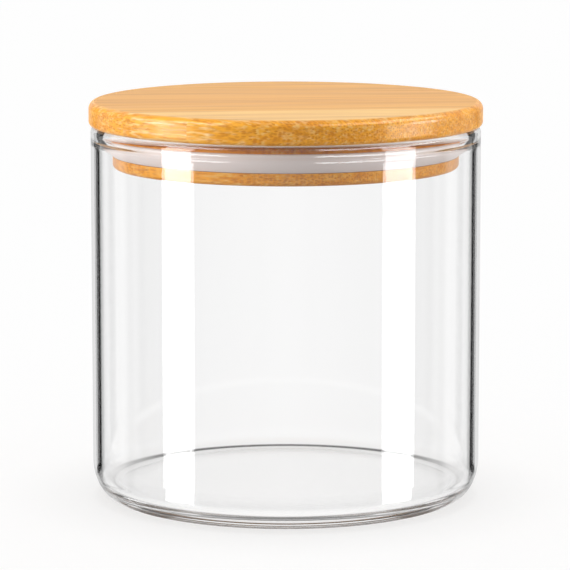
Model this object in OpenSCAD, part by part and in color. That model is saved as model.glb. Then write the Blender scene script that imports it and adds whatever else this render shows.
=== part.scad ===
// Round glass storage jar with a push-in bamboo lid and a silicone seal.
// Millimetres, +Z up. The origin is the centre of the underside of the glass.

/* [Jar] */
// Outer diameter of the glass
jar_d = 100; // [60:1:160]
// Height of the glass from its underside to its rim
jar_h = 96; // [50:1:220]
// Thickness of the straight wall
wall_t = 2.1; // [1.2:0.1:3.5]
// Thickness of the floor
floor_t = 3.1; // [1.5:0.1:6]
// How far the round of the outer base corner reaches in under the glass
base_in = 6; // [3:0.1:9]
// How far the round of the outer base corner reaches up the wall
base_up = 9.5; // [4:0.1:12]
// Radius of the corner between wall and floor inside
floor_round = 3.2; // [1:0.1:8]
// How far the bead at the rim stands in past the wall
bead_in = 1.1; // [0.4:0.1:2]
// Height over which the wall thickens to the bead
neck_h = 3.4; // [2:0.1:6]

/* [Lid disc] */
// How far the disc stands out past the glass all round
disc_over = 0.5; // [0:0.1:3]
// Thickness of the disc
disc_t = 6.3; // [4:0.1:12]
// Radius of the disc's top edge
disc_top_round = 2; // [0.5:0.1:3]
// Radius of the disc's lower edge
disc_low_round = 1.2; // [0.3:0.1:1.9]

/* [Lid plug] */
// Space between the plug and the glass all round
plug_gap = 3.5; // [2.5:0.1:6]
// Height of the plug below the disc
plug_h = 10.5; // [9:0.1:20]
// Radius of the plug's lower edge
plug_round = 1.1; // [0.3:0.1:2]
// Depth of the groove that holds the seal
groove_depth = 2.2; // [1.2:0.1:4]

/* [Seal] */
// Height of bare plug between the disc and the seal's lip
seal_drop = 2.2; // [1:0.1:3]
// Height of the seal from its underside to the tip of its lip
seal_h = 5; // [4:0.1:6]
// Height of the heel that sits in the groove
heel_h = 3.6; // [2:0.1:3.9]
// How far the heel stands out of the groove
heel_proud = 0.5; // [0.2:0.1:1]
// Thickness of the lip
lip_t = 1; // [0.6:0.1:1.5]
// Radius of the lip's outward bow, as seen in a section
lip_bow = 8.5; // [6:0.5:30]

/* [Bamboo strips] */
// Angle of the grain from the X axis, in degrees
grain_angle = 6.5; // [-90:0.5:90]
// Wood that the saw leaves on each side of a round cut from its board
board_trim = 4.5; // [1:0.5:8]
// How far a round is cut off its board's middle, across the grain
board_shift = -2; // [-6:0.5:6]

/* [Fits] */
// Gap between the disc and the rim that it lies on
seat_gap = 0.1; // [0.05:0.05:0.3]
// Gap between the tip of the seal's lip and the bead
lip_gap = 0.15; // [0.1:0.05:0.3]
// Gap between the seal's heel and each face of its groove
groove_gap = 0.1; // [0.05:0.05:0.2]

/* [Hidden] */
$fn = 180;
// How far each cut runs past the surface that it cuts
overrun = 1;

// Strips in the two boards that the lid is glued up from
disc_strips = 7;
plug_strips = 6;

jar_r = jar_d / 2;
bore_r = jar_r - wall_t;
bead_r = bore_r - bead_in;

// The rim's top is a half round, as wide as the wall and its bead
rim_r = (jar_r - bead_r) / 2;
neck_top = jar_h - rim_r;

// Heights in the lid, counted up from the underside of the glass
disc_z = jar_h + seat_gap;
lid_z = disc_z + disc_t;
plug_z = disc_z - plug_h;
lip_z = disc_z - seal_drop;
seal_z = lip_z - seal_h;

disc_r = jar_r + disc_over;
plug_r = bore_r - plug_gap;
groove_r = plug_r - groove_depth;
heel_r = groove_r + groove_gap;
lip_r = bead_r - lip_gap;

// The lip ends in a half round, whose middle is here, a gap away from the glass
tip_r = lip_t / 2;
tip_at = [lip_r - tip_r, lip_z - tip_r];

// The lip's outer face is an arc from the plug's side, at the seal's underside, to that half round.
// Its axis is lip_bow from the foot and lip_bow less tip_r from the tip.
lip_foot = [plug_r, seal_z];
lip_chord = tip_at - lip_foot;
lip_along = (pow(lip_bow, 2) - pow(lip_bow - tip_r, 2) + pow(norm(lip_chord), 2)) / (2 * norm(lip_chord));
lip_aside = sqrt(pow(lip_bow, 2) - pow(lip_along, 2));
lip_axis = lip_foot + (lip_along * lip_chord + lip_aside * [-lip_chord.y, lip_chord.x]) / norm(lip_chord);

function name_row(stem, count) = [for (i = [1:count]) str(stem, i)];

// Tones of bamboo from strip to strip
bamboo_tones = [[0.93, 0.74, 0.49], [0.9, 0.7, 0.44], [0.86, 0.66, 0.41], [0.91, 0.71, 0.47]];

// What a round edge of radius r takes off a square corner at the origin, the body lying at -X and +Y
module edge_waste(r) {
    difference() {
        translate([-r, -overrun]) square([r + overrun, r + overrun]);
        translate([-r, r]) circle(r);
    }
}

// The hollow of the jar: straight sides and a rounded corner at the floor
module hollow_profile() {
    difference() {
        square([bore_r, jar_h - floor_t + overrun]);
        translate([bore_r, 0]) edge_waste(floor_round);
    }
}

// The wall's inner face runs into the bead in two equal arcs, of this radius and this angle each
neck_round = (pow(bead_in, 2) + pow(neck_h, 2)) / (4 * bead_in);
neck_angle = asin(neck_h / 2 / neck_round);
neck_steps = 8;
neck_upper = [for (i = [0:neck_steps]) let (a = neck_angle * i / neck_steps)
    [bead_r + neck_round * (1 - cos(a)), neck_top - neck_round * sin(a)]];
neck_lower = [for (i = [neck_steps:-1:0]) let (a = neck_angle * i / neck_steps)
    [bore_r - neck_round * (1 - cos(a)), neck_top - neck_h + neck_round * sin(a)]];

// The outer base corner is a quarter of an ellipse, drawn in straight steps
base_steps = 20;
base_edge = [for (i = [0:base_steps]) let (a = 90 * i / base_steps)
    [jar_r - base_in * (1 - sin(a)), base_up * (1 - cos(a))]];

// What the base corner takes off a square one
module base_waste() {
    polygon(concat(base_edge, [[jar_r + overrun, base_up], [jar_r + overrun, -overrun], [jar_r - base_in, -overrun]]));
}

// Section of the glass up to its rim, which the flame has melted to a bead with a half-round top
module glass_profile() {
    difference() {
        square([jar_r, neck_top]);
        base_waste();
        translate([0, floor_t]) hollow_profile();
    }
    polygon(concat([[jar_r, neck_top]], neck_upper, neck_lower, [[jar_r, neck_top - neck_h]]));
    translate([jar_r - rim_r, neck_top]) circle(rim_r);
}

module glass_jar() {
    color([0.86, 0.93, 0.94, 0.35]) rotate_extrude() glass_profile();
}

// The lip is a slice of a round band, as thick all the way up, with a round tip
module lip_profile() {
    intersection() {
        translate(lip_axis) difference() {
            circle(lip_bow);
            circle(lip_bow - lip_t);
        }
        translate([heel_r, seal_z]) square([lip_r - heel_r, tip_at.y - seal_z]);
    }
    translate(tip_at) circle(tip_r);
}

module silicone_seal() {
    color([0.95, 0.94, 0.93]) rotate_extrude() {
        translate([heel_r, seal_z]) square([plug_r + heel_proud - heel_r, heel_h]);
        lip_profile();
    }
}

module disc_profile() {
    difference() {
        translate([0, disc_z]) square([disc_r, disc_t]);
        translate([disc_r, disc_z]) edge_waste(disc_low_round);
        translate([disc_r, lid_z]) mirror([0, 1]) edge_waste(disc_top_round);
    }
}

// Section of the plug, with the groove for the seal's heel
module plug_profile() {
    difference() {
        translate([0, plug_z]) square([plug_r, plug_h]);
        translate([plug_r, plug_z]) edge_waste(plug_round);
        translate([groove_r, seal_z - groove_gap]) square([groove_depth + overrun, heel_h + 2 * groove_gap]);
    }
}

// Where joint i lies across a board of count strips, seen from the middle of the round cut from it
function seam(i, count, strip_w) = board_shift + (i - count / 2) * strip_w;

// Strip i of a round of radius r, cut from a board of count equal strips. The first and last strips
// end at the round's own edge.
module strip_of(i, count, r) {
    strip_w = (2 * r + 2 * board_trim) / count;
    reach = r + overrun;
    low = i == 1 ? -reach : seam(i - 1, count, strip_w);
    high = i == count ? reach : seam(i, count, strip_w);
    color(bamboo_tones[i % len(bamboo_tones)]) intersection() {
        rotate_extrude() children();
        rotate(grain_angle) translate([-reach, low, 0]) cube([2 * reach, high - low, lid_z + overrun]);
    }
}

module disc_strip(i) {
    strip_of(i, disc_strips, disc_r) disc_profile();
}

module plug_strip(i) {
    strip_of(i, plug_strips, plug_r) plug_profile();
}

glass_jar();
silicone_seal();
for (i = [1:disc_strips]) disc_strip(i);
for (i = [1:plug_strips]) plug_strip(i);
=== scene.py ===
"""A glass storage jar with a bamboo lid and a silicone seal: its looks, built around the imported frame."""

import math

import bmesh
import bpy
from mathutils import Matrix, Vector


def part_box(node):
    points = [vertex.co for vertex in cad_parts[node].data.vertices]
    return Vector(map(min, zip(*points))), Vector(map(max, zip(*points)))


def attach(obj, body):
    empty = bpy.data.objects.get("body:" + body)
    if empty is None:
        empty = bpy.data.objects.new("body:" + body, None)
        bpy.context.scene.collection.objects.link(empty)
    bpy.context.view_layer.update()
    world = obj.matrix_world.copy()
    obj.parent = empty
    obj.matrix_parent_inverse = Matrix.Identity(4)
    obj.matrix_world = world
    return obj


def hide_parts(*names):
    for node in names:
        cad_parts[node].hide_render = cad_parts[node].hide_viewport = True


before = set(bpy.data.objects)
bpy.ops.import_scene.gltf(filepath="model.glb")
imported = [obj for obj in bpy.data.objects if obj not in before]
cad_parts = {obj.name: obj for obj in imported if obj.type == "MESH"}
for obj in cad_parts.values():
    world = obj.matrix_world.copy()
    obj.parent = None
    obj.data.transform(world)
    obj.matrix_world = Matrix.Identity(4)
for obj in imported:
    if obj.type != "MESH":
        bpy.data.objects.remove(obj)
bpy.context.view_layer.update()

scene = bpy.context.scene
scene.view_settings.view_transform = "Standard"

# Light that runs along inside the glass turns many times before it comes out
scene.cycles.max_bounces = 32
scene.cycles.glossy_bounces = 24
scene.cycles.transmission_bounces = 32
scene.cycles.transparent_max_bounces = 32

# Sizes that the frame's boxes don't give, in metres, as in the part's source
WALL_T = 0.0021
FLOOR_T = 0.0031
BASE_IN = 0.006
BASE_UP = 0.0095
FLOOR_ROUND = 0.0032
RIM_R = 0.0016
NECK_H = 0.0034
DISC_TOP_ROUND = 0.002
DISC_LOW_ROUND = 0.0012
PLUG_ROUND = 0.0011
PLUG_GAP = 0.0035
GROOVE_DEPTH = 0.0022
GROOVE_GAP = 0.0001
HEEL_H = 0.0036
HEEL_PROUD = 0.0005
LIP_T = 0.001
LIP_BOW = 0.0085
BOARD_TRIM = 0.0045
BOARD_SHIFT = -0.002
DISC_STRIPS = 7
PLUG_STRIPS = 6

# The grain's angle from the X axis, on the flat faces and in the look of the edges
GRAIN_ANGLE = math.radians(6.5)
SIDE_GRAIN_ANGLE = math.radians(-33)

# Sizes that the frame gives, and what follows from them
JAR_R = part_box("glass_jar")[1][0]
JAR_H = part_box("glass_jar")[1][2]
BORE_R = JAR_R - WALL_T
DISC_R = max(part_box(f"disc_strip_{i}")[1][0] for i in range(1, DISC_STRIPS + 1))
DISC_Z, LID_Z = (corner[2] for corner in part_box("disc_strip_4"))
PLUG_R = BORE_R - PLUG_GAP
PLUG_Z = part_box("plug_strip_3")[0][2]
GROOVE_R = PLUG_R - GROOVE_DEPTH
HEEL_R = GROOVE_R + GROOVE_GAP
SEAL_Z, LIP_Z = (corner[2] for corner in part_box("silicone_seal"))
LIP_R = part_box("silicone_seal")[1][0]


def make_camera():
    """The photograph's view: a long lens, a little above the lid, looking down by about 9 degrees."""
    data = bpy.data.cameras.new("camera")
    data.lens = 220.6
    data.sensor_width = 36
    data.clip_end = 50
    camera = bpy.data.objects.new("camera", data)
    camera.location = (-0.0002, -0.8912, 0.1933)
    camera.rotation_euler = (math.radians(90 - 8.86), 0, 0)
    scene.collection.objects.link(camera)
    scene.camera = camera


make_camera()


# Shapes

# Facets round the jar and the lid, and round the seal
TURNS = 288
SEAL_TURNS = 192

# Edges that turn by more than this are shaded sharp
SHARP_ANGLE = math.radians(35)

# Extra rings, this far from an edge or its round, keep the flat and straight faces evenly shaded
GLASS_HOLD = 0.0003
GLASS_HOLD_NEXT = 0.002
WOOD_HOLD = 0.0002
SEAL_HOLD = 0.0004


def arc(centre, radius, start, end, steps):
    """Points of a section along an arc, from angle start to angle end in degrees."""
    points = []
    for i in range(steps + 1):
        a = math.radians(start + (end - start) * i / steps)
        points.append((centre[0] + radius * math.cos(a), centre[1] + radius * math.sin(a)))
    return points


def lathe(section, turns, closed=False):
    """A body of revolution about Z. An open section starts and ends on the axis."""
    bm = bmesh.new()
    rings = []
    for r, z in section:
        if r == 0:
            rings.append([bm.verts.new((0, 0, z))] * turns)
        else:
            angles = (2 * math.pi * k / turns for k in range(turns))
            rings.append([bm.verts.new((r * math.cos(a), r * math.sin(a), z)) for a in angles])
    pairs = list(zip(rings, rings[1:]))
    if closed:
        pairs.append((rings[-1], rings[0]))
    for low, high in pairs:
        for k in range(turns):
            n = (k + 1) % turns
            corners = list(dict.fromkeys((low[k], low[n], high[n], high[k])))
            bm.faces.new(corners)
    bmesh.ops.recalc_face_normals(bm, faces=bm.faces)
    return bm


def cut(bm, along, offset, keep_above):
    """Keeps the part of a solid on one side of an upright plane, and closes the cut."""
    side = Vector((-math.sin(along), math.cos(along), 0))
    bmesh.ops.bisect_plane(
        bm, geom=bm.verts[:] + bm.edges[:] + bm.faces[:], dist=1e-7,
        plane_co=side * offset, plane_no=side,
        clear_inner=keep_above, clear_outer=not keep_above,
    )
    bmesh.ops.holes_fill(bm, edges=[e for e in bm.edges if e.is_boundary], sides=0)


def finish_piece(name, bm, body, nodes, material):
    """Turns a bmesh into a piece that rides on a body and stands for these CAD nodes."""
    bmesh.ops.recalc_face_normals(bm, faces=bm.faces)
    mesh = bpy.data.meshes.new(name)
    bm.to_mesh(mesh)
    bm.free()
    mesh.shade_smooth()
    mesh.set_sharp_from_angle(angle=SHARP_ANGLE)
    mesh.materials.append(material)
    piece = bpy.data.objects.new(name, mesh)
    scene.collection.objects.link(piece)
    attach(piece, body)
    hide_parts(*nodes)
    return piece


def glass_section():
    """The jar from the middle of its underside, up outside, over the rim and down to the floor inside."""
    base_r = JAR_R - BASE_IN
    neck_top = JAR_H - RIM_R
    outer = [(0, 0), (base_r - GLASS_HOLD_NEXT, 0), (base_r - GLASS_HOLD, 0)]
    quarter = arc((0, 0), 1, -90, 0, steps=48)
    outer += [(base_r + BASE_IN * x, BASE_UP * (1 + y)) for x, y in quarter]
    outer += [(JAR_R, BASE_UP + GLASS_HOLD), (JAR_R, BASE_UP + GLASS_HOLD_NEXT), (JAR_R, JAR_H / 2)]
    outer += [(JAR_R, neck_top - GLASS_HOLD_NEXT), (JAR_R, neck_top - GLASS_HOLD)]
    rim = arc((JAR_R - RIM_R, neck_top), RIM_R, 0, 180, steps=40)
    bead_r = JAR_R - 2 * RIM_R
    step = BORE_R - bead_r
    neck_r = (step ** 2 + NECK_H ** 2) / (4 * step)
    swing = math.degrees(math.asin(NECK_H / 2 / neck_r))
    neck_low = neck_top - NECK_H
    neck = arc((bead_r + neck_r, neck_top), neck_r, 180, 180 + swing, steps=10)[1:]
    neck += arc((BORE_R - neck_r, neck_low), neck_r, swing, 0, steps=10)[1:]
    corner_r = BORE_R - FLOOR_ROUND
    corner_z = FLOOR_T + FLOOR_ROUND
    inner = [(BORE_R, neck_low - GLASS_HOLD), (BORE_R, neck_low - GLASS_HOLD_NEXT), (BORE_R, JAR_H / 2)]
    inner += [(BORE_R, corner_z + GLASS_HOLD_NEXT), (BORE_R, corner_z + GLASS_HOLD)]
    inner += arc((corner_r, corner_z), FLOOR_ROUND, 0, -90, steps=28)
    inner += [(corner_r - GLASS_HOLD, FLOOR_T), (corner_r - GLASS_HOLD_NEXT, FLOOR_T), (0, FLOOR_T)]
    return outer + rim + neck + inner


def seal_section():
    """The heel in its groove, and the lip that bows up and out to the glass, as a closed loop."""
    tip_r = LIP_T / 2
    tip = Vector((LIP_R - tip_r, LIP_Z - tip_r))
    foot = Vector((PLUG_R, SEAL_Z))
    chord = tip - foot
    along = (LIP_BOW ** 2 - (LIP_BOW - tip_r) ** 2 + chord.length ** 2) / (2 * chord.length)
    aside = math.sqrt(LIP_BOW ** 2 - along ** 2)
    axis = foot + (along * chord + aside * Vector((-chord.y, chord.x))) / chord.length
    heel_top = SEAL_Z + HEEL_H
    proud_r = PLUG_R + HEEL_PROUD
    start = math.degrees(math.atan2(foot.y - axis.y, foot.x - axis.x))
    end = math.degrees(math.atan2(tip.y - axis.y, tip.x - axis.x))
    inner_r = LIP_BOW - LIP_T
    meet = math.degrees(math.asin((heel_top - axis.y) / inner_r))
    if axis.x + inner_r * math.cos(math.radians(meet)) < proud_r:
        meet = -math.degrees(math.acos((proud_r - axis.x) / inner_r))
    section = [(HEEL_R, SEAL_Z), (PLUG_R - SEAL_HOLD, SEAL_Z)]
    section += arc(axis, LIP_BOW, start, end, steps=28)
    section += arc(tip, tip_r, end, end + 180, steps=14)[1:-1]
    section += arc(axis, inner_r, end, meet, steps=24)
    section += [(proud_r, heel_top), (HEEL_R, heel_top)]
    return section


def disc_section():
    """The disc from the middle of its underside, round its edge, to the middle of its top."""
    low_r = DISC_R - DISC_LOW_ROUND
    top_r = DISC_R - DISC_TOP_ROUND
    section = [(0, DISC_Z), (low_r - WOOD_HOLD, DISC_Z)]
    section += arc((low_r, DISC_Z + DISC_LOW_ROUND), DISC_LOW_ROUND, -90, 0, steps=12)
    section += [(DISC_R, DISC_Z + DISC_LOW_ROUND + WOOD_HOLD), (DISC_R, LID_Z - DISC_TOP_ROUND - WOOD_HOLD)]
    section += arc((top_r, LID_Z - DISC_TOP_ROUND), DISC_TOP_ROUND, 0, 90, steps=16)
    section += [(top_r - WOOD_HOLD, LID_Z), (0, LID_Z)]
    return section


def plug_section():
    """The plug from the middle of its underside, round its edge and its groove, up to the disc."""
    low_r = PLUG_R - PLUG_ROUND
    groove_low = SEAL_Z - GROOVE_GAP
    groove_high = SEAL_Z + HEEL_H + GROOVE_GAP
    section = [(0, PLUG_Z), (low_r - WOOD_HOLD, PLUG_Z)]
    section += arc((low_r, PLUG_Z + PLUG_ROUND), PLUG_ROUND, -90, 0, steps=12)
    section += [(PLUG_R, groove_low), (GROOVE_R, groove_low), (GROOVE_R, groove_high)]
    section += [(PLUG_R, groove_high), (PLUG_R, DISC_Z), (0, DISC_Z)]
    return section


def strip(section, i, count, radius):
    """Strip i of a round that is cut from a board of count strips."""
    bm = lathe(section, TURNS)
    width = (2 * radius + 2 * BOARD_TRIM) / count
    if i > 1:
        cut(bm, GRAIN_ANGLE, BOARD_SHIFT + (i - 1 - count / 2) * width, keep_above=True)
    if i < count:
        cut(bm, GRAIN_ANGLE, BOARD_SHIFT + (i - count / 2) * width, keep_above=False)
    return bm


# Materials

class Nodes:
    """A node tree, with short calls to add to it."""

    def __init__(self, owner):
        owner.use_nodes = True
        self.tree = owner.node_tree
        self.tree.nodes.clear()

    def add(self, kind, inputs=None, **settings):
        """Adds a node. Inputs are by name or number, and each is a plain value or another node's output."""
        node = self.tree.nodes.new("ShaderNode" + kind)
        for name, value in settings.items():
            setattr(node, name, value)
        for key, value in (inputs or {}).items():
            if isinstance(value, bpy.types.NodeSocket):
                self.tree.links.new(value, node.inputs[key])
            else:
                node.inputs[key].default_value = value
        return node

    def math(self, operation, *values):
        """The result of a Math node."""
        return self.add("Math", dict(enumerate(values)), operation=operation).outputs[0]

    def product(self, first, *others):
        """Values multiplied together, from left to right."""
        for other in others:
            first = self.math("MULTIPLY", first, other)
        return first

    def remap(self, value, low, high, to_low=0.0, to_high=1.0):
        """A value carried smoothly from one range to another, and held at its ends."""
        inputs = {0: value, 1: low, 2: high, 3: to_low, 4: to_high}
        return self.add("MapRange", inputs, interpolation_type="SMOOTHSTEP").outputs[0]

    def turned(self, vector, angle):
        """A vector turned about Z."""
        inputs = {"Vector": vector, "Angle": angle}
        return self.add("VectorRotate", inputs, rotation_type="Z_AXIS").outputs[0]

    def noise(self, source, scale, detail, shift):
        """Noise of its own scale along each axis."""
        place = self.add("Mapping", {"Vector": source, "Location": shift, "Scale": scale}).outputs[0]
        return self.add("TexNoise", {"Vector": place, "Scale": 1, "Detail": detail}).outputs[0]

    def blend(self, factor, a, b, kind="MIX"):
        """A mix of two colours."""
        node = self.add("Mix", {0: factor, 6: a, 7: b}, data_type="RGBA", blend_type=kind)
        return node.outputs[2]

    def either(self, factor, a, b):
        """A mix of two plain values."""
        return self.add("Mix", {0: factor, 2: a, 3: b}, data_type="FLOAT").outputs[0]


def glass_material():
    """Clear glass. Shadow and diffuse rays go straight through it, and lose more where they graze it."""
    straight_through = 0.98
    lost_at_grazing = 0.94
    material = bpy.data.materials.new("clear_glass")
    n = Nodes(material)
    path = n.add("LightPath")
    glass = n.add("BsdfPrincipled", {
        "Base Color": (0.993, 0.993, 0.993, 1),
        "Roughness": 0.0,
        "IOR": 1.47,
        "Transmission Weight": 1.0,
    })
    facing = n.add("LayerWeight", {"Blend": 0.5}).outputs["Facing"]
    turned_back = n.product(n.math("POWER", facing, 5.0), lost_at_grazing)
    through = n.add("BsdfTransparent", {"Color": n.math("SUBTRACT", straight_through, turned_back)})
    plain = n.math("MAXIMUM", path.outputs["Is Shadow Ray"], path.outputs["Is Diffuse Ray"])
    mix = n.add("MixShader", {0: plain, 1: glass.outputs[0], 2: through.outputs[0]})
    n.add("OutputMaterial", {"Surface": mix.outputs[0]})
    return material


def silicone_material():
    """Milky silicone, a little translucent, with a faint mould texture."""
    material = bpy.data.materials.new("milky_silicone")
    n = Nodes(material)
    place = n.add("TexCoord").outputs["Object"]
    cloud = n.add("TexNoise", {"Vector": place, "Scale": 90, "Detail": 3}).outputs[0]
    grain = n.add("TexNoise", {"Vector": place, "Scale": 2600, "Detail": 2}).outputs[0]
    colour = n.blend(cloud, (0.78, 0.69, 0.66, 1), (0.83, 0.74, 0.71, 1))
    rough = n.remap(cloud, 0.3, 0.7, 0.38, 0.5)
    bump = n.add("Bump", {"Height": grain, "Strength": 0.15, "Distance": 0.00005})
    skin = n.add("BsdfPrincipled", {
        "Base Color": colour,
        "Roughness": rough,
        "IOR": 1.41,
        "Subsurface Weight": 0.35,
        "Subsurface Radius": (1.0, 0.85, 0.8),
        "Subsurface Scale": 0.002,
        "Normal": bump.outputs[0],
    })
    n.add("OutputMaterial", {"Surface": skin.outputs[0]})
    return material


# Tones of bamboo, on the flat faces and round the edges
FACE_DEEP = (0.81, 0.425, 0.128, 1)
FACE_PALE = (0.875, 0.495, 0.165, 1)
FACE_STREAK = (0.6, 0.27, 0.076, 1)
FACE_FIBRE = (0.63, 0.31, 0.108, 1)
SIDE_DEEP = (0.81, 0.32, 0.014, 1)
SIDE_PALE = (0.93, 0.43, 0.036, 1)
SIDE_STREAK = (0.97, 0.72, 0.38, 1)
SIDE_PATCH = (0.56, 0.19, 0.012, 1)
DARK_SPOT = (0.6, 0.19, 0.009, 1)
# Pale specks: partly pale fibre ends, partly painted glints
PALE_SPOT_AND_GLINT = (0.98, 0.67, 0.22, 1)


def bamboo_face(n, place, seed, tint):
    """The flat faces: colour, and the bands, streaks and fibres that run along the grain."""
    along = n.turned(place, -GRAIN_ANGLE)
    bands = n.noise(along, scale=(5, 130, 130), detail=1, shift=(seed, 0, seed))
    streaks = n.noise(along, scale=(14, 420, 300), detail=3, shift=(0, seed, 5))
    fibres = n.noise(along, scale=(45, 1500, 900), detail=2, shift=(seed, 7, 0))
    colour = n.blend(n.remap(bands, 0.35, 0.65), FACE_DEEP, FACE_PALE)
    colour = n.blend(n.remap(streaks, 0.46, 0.7, 0, 0.68), colour, FACE_STREAK)
    colour = n.blend(n.remap(fibres, 0.3, 0.7, 0.3, 0), colour, FACE_FIBRE)
    colour = n.blend(1.0, colour, (*tint, 1), "MULTIPLY")
    roughness = n.remap(bands, 0.3, 0.7, 0.46, 0.56)
    return colour, roughness, n.math("ADD", fibres, streaks)


def bamboo_side(n, place, normal, seed, tint):
    """The edges. A bundle of fibres shows as a dot where it is cut across, as a dash where cut along."""
    wave = n.add("TexNoise", {"Vector": place, "Scale": 400, "Detail": 2}).outputs["Color"]
    sway = n.add("VectorMath", {0: wave, 1: (0.5, 0.5, 0.5)}, operation="SUBTRACT").outputs[0]
    sway = n.add("VectorMath", {0: sway, "Scale": 0.0003}, operation="SCALE").outputs[0]
    bent = n.add("VectorMath", {0: n.turned(place, -SIDE_GRAIN_ANGLE), 1: sway}, operation="ADD").outputs[0]

    # Bundles are cells of a pattern that runs on along the fibres, so it is drawn across them only
    across, up = n.add("SeparateXYZ", {0: bent}).outputs[1:3]
    cells = n.add("CombineXYZ", {0: n.math("ADD", across, seed), 1: n.math("ADD", up, seed)}).outputs[0]
    pattern = {"Vector": cells, "Scale": 1750, "Randomness": 0.8}
    bundles = n.add("TexVoronoi", pattern, voronoi_dimensions="2D")
    chance = n.add("SeparateColor", {0: bundles.outputs["Color"]}).outputs[0]
    spots = n.remap(bundles.outputs["Distance"], 0.2, 0.55, 1, 0)
    dark_spots = n.product(spots, n.remap(chance, 0.2, 0.9, 0.35, 1))
    # A few bundles show as pale specks, partly painted glints
    pale_and_glint_spots = n.product(spots, n.remap(chance, 0.08, 0.16, 1, 0))
    clusters = n.noise(bent, scale=(45, 200, 330), detail=2, shift=(0, seed, 0))
    patches = n.noise(bent, scale=(260, 900, 1100), detail=2, shift=(seed, 3, 0))
    long_streaks = n.noise(bent, scale=(60, 900, 1300), detail=3, shift=(seed, 0, 0))

    # Streaks are strong where the edge runs along the fibres, and dots where it crosses them
    facing_fibres = n.add("SeparateXYZ", {0: n.turned(normal, -SIDE_GRAIN_ANGLE)}).outputs[0]
    end_on = n.math("ABSOLUTE", facing_fibres)
    streaky = n.remap(end_on, 0.05, 0.5, 0.95, 0.4)
    spotty = n.remap(end_on, 0.05, 0.5, 0.4, 0.75)
    colour = n.blend(n.remap(clusters, 0.3, 0.7), SIDE_DEEP, SIDE_PALE)
    colour = n.blend(n.product(n.remap(long_streaks, 0.45, 0.75), streaky), colour, SIDE_STREAK)
    colour = n.blend(n.remap(patches, 0.5, 0.7, 0, 0.6), colour, SIDE_PATCH)
    colour = n.blend(n.product(dark_spots, spotty), colour, DARK_SPOT)
    colour = n.blend(n.product(pale_and_glint_spots, 0.5), colour, PALE_SPOT_AND_GLINT)
    colour = n.blend(1.0, colour, (*tint, 1), "MULTIPLY")
    roughness = n.remap(clusters, 0.3, 0.7, 0.34, 0.44)
    return colour, roughness, n.math("SUBTRACT", pale_and_glint_spots, dark_spots)


def bamboo_material(name, seed, face_tint, side_tint):
    """Oiled bamboo. Which of its two looks shows follows from the way the surface faces."""
    material = bpy.data.materials.new(name)
    n = Nodes(material)
    coord = n.add("TexCoord")
    place = coord.outputs["Object"]
    normal = coord.outputs["Normal"]
    face, face_rough, face_height = bamboo_face(n, place, seed, face_tint)
    side, side_rough, side_height = bamboo_side(n, place, normal, seed, side_tint)
    upright = n.add("SeparateXYZ", {0: normal}).outputs[2]
    flat = n.remap(n.math("ABSOLUTE", upright), 0.92, 0.99)
    height = n.either(flat, side_height, face_height)
    bump = n.add("Bump", {"Height": height, "Strength": 0.35, "Distance": 0.00008})
    wood = n.add("BsdfPrincipled", {
        "Base Color": n.blend(flat, side, face),
        "Roughness": n.either(flat, side_rough, face_rough),
        "IOR": 1.46,
        "Specular IOR Level": 0.25,
        "Coat Weight": n.either(flat, 0.28, 0.0),
        "Coat Roughness": 0.15,
        "Normal": bump.outputs[0],
    })
    n.add("OutputMaterial", {"Surface": wood.outputs[0]})
    return material


# Pieces

# Each strip's pattern starts this far from its neighbour's, and the plug's start well past the disc's
SEED_STEP = 3.7
PLUG_SEED = 50


def make_jar():
    """The glass, in one piece."""
    bm = lathe(glass_section(), TURNS)
    finish_piece("jar_glass", bm, "jar", ["glass_jar"], glass_material())


def make_seal():
    """The ring of silicone round the plug."""
    bm = lathe(seal_section(), SEAL_TURNS, closed=True)
    return finish_piece("seal_ring", bm, "seal", ["silicone_seal"], silicone_material())


def make_lid():
    """The disc and the plug, each in strips that differ a little in tone. The plug's edges carry painted
    shade.
    """
    plain = (1, 1, 1)
    pale = (1.09, 1.27, 1.56)
    # Painted shade: the plug's edges are a darker, more saturated copy of the disc's bamboo, for where they
    # sit in shade under the disc, behind the glass
    painted_shade_behind_glass = (0.97, 0.88, 0.55)
    disc_tints = [
        pale, pale, plain, (0.97, 0.95, 0.93),
        (0.99, 1, 1), (0.94, 0.93, 0.93), (0.91, 0.9, 0.9),
    ]
    pieces = []
    for i, tint in enumerate(disc_tints, 1):
        material = bamboo_material(f"bamboo_disc_{i}", SEED_STEP * i, tint, plain)
        bm = strip(disc_section(), i, DISC_STRIPS, DISC_R)
        piece = finish_piece(f"disc_bamboo_{i}", bm, "lid", [f"disc_strip_{i}"], material)
        pieces.append(piece)
    plug_tones = [0.98, 1.03, 0.96, 1.02, 0.95, 1.0]
    for i, tone in enumerate(plug_tones, 1):
        seed = SEED_STEP * i + PLUG_SEED
        material = bamboo_material(f"bamboo_plug_{i}", seed, (tone, tone, tone), painted_shade_behind_glass)
        bm = strip(plug_section(), i, PLUG_STRIPS, PLUG_R)
        piece = finish_piece(f"plug_bamboo_{i}", bm, "lid", [f"plug_strip_{i}"], material)
        pieces.append(piece)
    return pieces


# The studio

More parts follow.
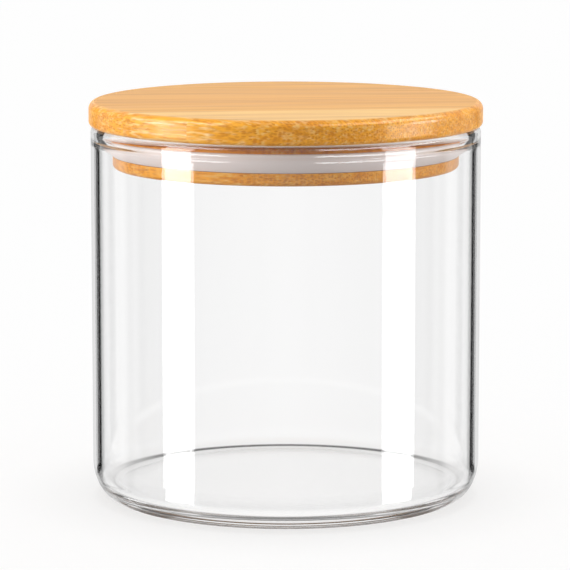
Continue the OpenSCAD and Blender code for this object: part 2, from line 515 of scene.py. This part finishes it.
def floor_material():
    """White, partly lit so that it keeps the shadows, and partly glowing.

    Rays that a surface has turned back look past it at the studio.
    """
    glow = 0.695
    glow_on_others = 0.08
    paint_tone = 0.37
    # How much painted light the floor has under the jar, where it is seen through the glass
    lift_under_jar = 0.27

    # Where the painted light and shadow start and end: distances from the middle, and how far back
    lift_ends = (0.036, 0.0465)
    ring_inner_edge = (0.0468, 0.048)
    ring_outer_edge = (0.05, 0.053)
    front_to_back = (0.015, 0.046)
    material = bpy.data.materials.new("white_floor")
    n = Nodes(material)
    path = n.add("LightPath")
    through_glass = path.outputs["Is Transmission Ray"]
    place = n.add("TexCoord").outputs["Object"]
    middle = n.add("VectorMath", {0: place}, operation="LENGTH").outputs["Value"]
    back = n.add("SeparateXYZ", {0: place}).outputs[1]

    # Seen through the glass, the floor has painted light under the jar, and a painted shadow in a ring at
    # its foot that is darker towards the back
    painted_light_under_jar = n.product(through_glass, n.remap(middle, *lift_ends, lift_under_jar, 0))
    painted_shadow_ring = n.product(n.remap(middle, *ring_inner_edge), n.remap(middle, *ring_outer_edge, 1, 0))
    painted_shadow_strength = n.remap(back, *front_to_back, 0.15, 0.95)
    keep = n.math("SUBTRACT", 1.0, n.product(painted_shadow_ring, painted_shadow_strength, through_glass))
    seen = n.either(path.outputs["Is Diffuse Ray"], n.math("ADD", painted_light_under_jar, glow), glow_on_others)
    lift = n.add("Emission", {"Strength": n.product(seen, keep)})
    paint = n.add("BsdfDiffuse", {"Color": n.product(keep, paint_tone)})
    lit = n.add("AddShader", {0: paint.outputs[0], 1: lift.outputs[0]})
    clear = n.add("BsdfTransparent")
    turned_back = n.math("GREATER_THAN", path.outputs["Glossy Depth"], 0.5)
    mix = n.add("MixShader", {0: turned_back, 1: lit.outputs[0], 2: clear.outputs[0]})
    n.add("OutputMaterial", {"Surface": mix.outputs[0]})
    return material


def make_floor():
    """A wide floor, just under the glass so that the two don't touch."""
    mesh = bpy.data.meshes.new("floor")
    size = 12
    z = -0.0002
    corners = [(-size, -size, z), (size, -size, z), (size, size, z), (-size, size, z)]
    mesh.from_pydata(corners, [], [(0, 1, 2, 3)])
    mesh.materials.append(floor_material())
    floor = bpy.data.objects.new("floor", mesh)
    scene.collection.objects.link(floor)


# The level that surfaces reflect from each way round: degrees from +Y, on both sides alike, and the level
ROUND_ABOUT = [
    (0, 0.77), (24, 0.77), (25, 0), (37.5, 0), (38.5, 0.8), (47, 0.85),
    (51, 1), (68, 0.9), (71, 0.42), (74, 0.14), (77, 0.3), (81, 0.46),
    (86, 0.33), (100, 0.35), (109, 0.14), (116, 0.52), (141, 0.58), (180, 0.72),
]

# The levels of the ceiling and the table, of the light that falls on all sides, and of the softboxes
ABOVE_AND_BELOW = 0.97
EVEN_LIGHT = 0.464
SOFTBOX_LEVEL = 9


def window(n, value, low, high, soft):
    """1 between low and high, and 0 outside them."""
    return n.product(n.remap(value, low - soft, low), n.remap(value, high, high + soft, 1, 0))


def softbox(n, azimuth, elevation, middle, width, lamp_reach):
    """A tall softbox with round top corners, and a lamp above it. Angles are in degrees."""
    corner_w = 2.9
    corner_h = 1.5
    top = 6
    weak = 0.16
    lamp_low = 34
    lamp_high = 52
    lamp_soft = 6
    lamp_fade = 8
    aside = n.math("ABSOLUTE", n.math("SUBTRACT", azimuth, middle))
    past_side = n.math("SUBTRACT", aside, width / 2 - corner_w)
    past_top = n.math("SUBTRACT", elevation, top - corner_h)
    u = n.math("MAXIMUM", n.math("DIVIDE", past_side, corner_w), 0.0)
    v = n.math("MAXIMUM", n.math("DIVIDE", past_top, corner_h), 0.0)
    reach = n.math("SQRT", n.math("ADD", n.product(u, u), n.product(v, v)))
    inside = n.remap(reach, 0.86, 1.06, 1, 0)

    # Low down, where the jar's round base corner shows it, the softbox is weak and fades out
    foot = n.product(n.remap(elevation, -46, -20), n.remap(elevation, -14, -11.5, weak, 1))
    lamp_side = n.remap(aside, lamp_reach, lamp_reach + lamp_fade, 1, 0)
    lamp = n.product(lamp_side, window(n, elevation, lamp_low, lamp_high, lamp_soft))
    return n.math("ADD", n.product(inside, foot), lamp)


def level_round_about(n, round_about):
    """The level in ROUND_ABOUT, at a share of the half turn from +Y to -Y."""
    ramp = n.add("ValToRGB", {0: round_about})
    elements = ramp.color_ramp.elements
    elements.remove(elements[1])
    elements[0].position = 0
    for degrees, _ in ROUND_ABOUT[1:]:
        elements.new(degrees / 180)
    for element, (_, level) in zip(elements, ROUND_ABOUT):
        element.color = (level, level, level, 1)
    return ramp.outputs[0]


def make_world():
    """White behind the object, even light round it, and a studio for surfaces to reflect."""
    world = bpy.data.worlds.new("studio")
    scene.world = world
    n = Nodes(world)
    path = n.add("LightPath")
    way = n.add("SeparateXYZ", {0: n.add("TexCoord").outputs["Generated"]})
    azimuth = n.math("DEGREES", n.math("ARCTAN2", way.outputs[0], way.outputs[1]))
    elevation = n.math("DEGREES", n.math("ARCSINE", way.outputs[2]))
    round_about = n.math("DIVIDE", n.math("ABSOLUTE", azimuth), 180)

    # What is behind the nearest glass wall doesn't show the softboxes
    left = softbox(n, azimuth, elevation, middle=-113.1, width=20.6, lamp_reach=20)
    right = softbox(n, azimuth, elevation, middle=109.25, width=21.5, lamp_reach=45)
    near_wall = n.math("LESS_THAN", path.outputs["Transmission Depth"], 2.5)
    boxes = n.product(n.math("ADD", left, right), near_wall, SOFTBOX_LEVEL)

    # The ceiling and the table are pale, apart from a dark stretch of the table at the back
    ceiling = n.remap(elevation, 15, 30)
    table = n.remap(elevation, -24, -14, 1, 0)
    dark_rim = n.product(window(n, elevation, -58, -29, 3), n.remap(round_about, 0.1, 0.2, 0.8, 0))
    studio = n.either(n.math("MAXIMUM", ceiling, table), level_round_about(n, round_about), ABOVE_AND_BELOW)
    studio = n.math("ADD", n.product(studio, n.math("SUBTRACT", 1.0, dark_rim)), boxes)

    # Seen directly, or straight through the glass, it is white
    not_turned = n.math("LESS_THAN", path.outputs["Glossy Depth"], 0.5)
    direct = n.product(path.outputs["Is Transmission Ray"], not_turned)
    direct = n.math("MAXIMUM", direct, path.outputs["Is Camera Ray"])
    strength = n.either(path.outputs["Is Diffuse Ray"], studio, EVEN_LIGHT)
    strength = n.either(direct, strength, 1.0)
    sky = n.add("Background", {"Color": (1, 1, 1, 1), "Strength": strength})
    n.add("OutputWorld", {"Surface": sky.outputs[0]})
    world.cycles.sampling_method = "NONE"


def far_lamp(name, azimuth, elevation, angle, strength):
    """A wide soft lamp far away. Angles are in degrees, azimuth from -Y towards +X."""
    data = bpy.data.lights.new(name, "SUN")
    data.angle = math.radians(angle)
    data.energy = strength
    lamp = bpy.data.objects.new(name, data)
    lamp.rotation_euler = (math.radians(90 - elevation), 0, math.radians(azimuth))
    lamp.visible_camera = False
    lamp.visible_transmission = False
    scene.collection.objects.link(lamp)
    return lamp


def make_lamps(lit_pieces):
    """Two lamps from the sides that light only the lid and the seal, and one overhead for all."""
    group = bpy.data.collections.new("lit_from_the_sides")
    for piece in lit_pieces:
        group.objects.link(piece)
    left = far_lamp("lamp_left", azimuth=-77.5, elevation=5, angle=24, strength=3.3)
    right = far_lamp("lamp_right", azimuth=87, elevation=5, angle=24, strength=2.2)
    for lamp in (left, right):
        lamp.light_linking.receiver_collection = group
    over = far_lamp("lamp_over", azimuth=0, elevation=90, angle=29, strength=1.05)
    over.visible_glossy = False


make_jar()
lit = [make_seal()] + make_lid()
make_floor()
make_world()
make_lamps(lit)
